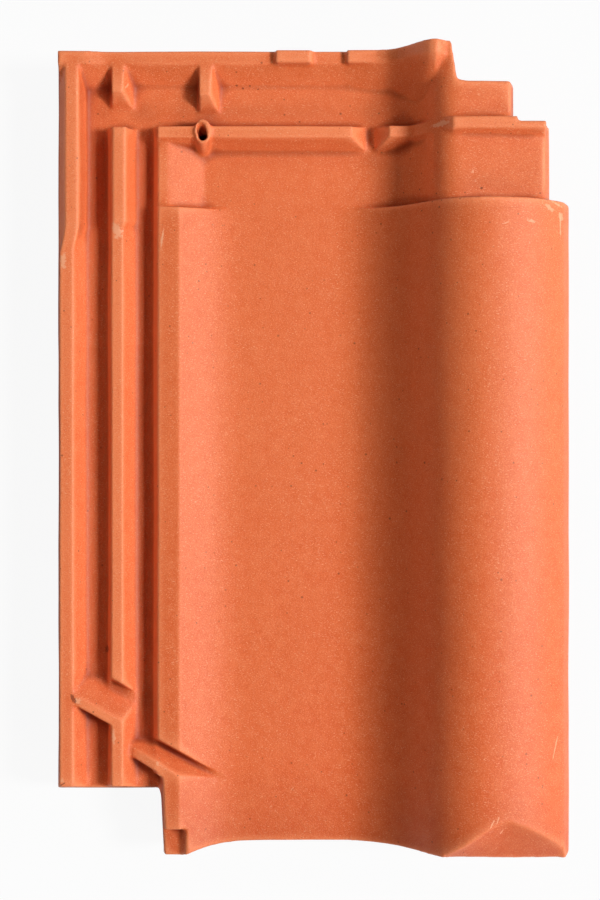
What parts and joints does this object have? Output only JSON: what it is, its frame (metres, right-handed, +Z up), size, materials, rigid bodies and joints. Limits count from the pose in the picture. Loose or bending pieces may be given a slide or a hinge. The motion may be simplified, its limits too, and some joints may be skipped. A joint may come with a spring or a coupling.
{
  "type": "clay roof tile",
  "caption": "Interlocking pan-and-roll clay roof tile with a side lock of water bars and channels, head ribs, hanging nibs and a bevelled nose.",
  "frame": {"origin": "middle of the tile's bounding box, on the level floor that its nibs and nose stand on", "axes": "+X across the tile from the side lock to the roll, +Y up the slope from the nose to the head, +Z up out of the weather side"},
  "size_m": [0.269, 0.4194, 0.066],
  "materials": {
    "clay": "matte"
  },
  "bodies": {
    "root": {"clay_roof_tile": "clay"}
  },
  "joints": []
}
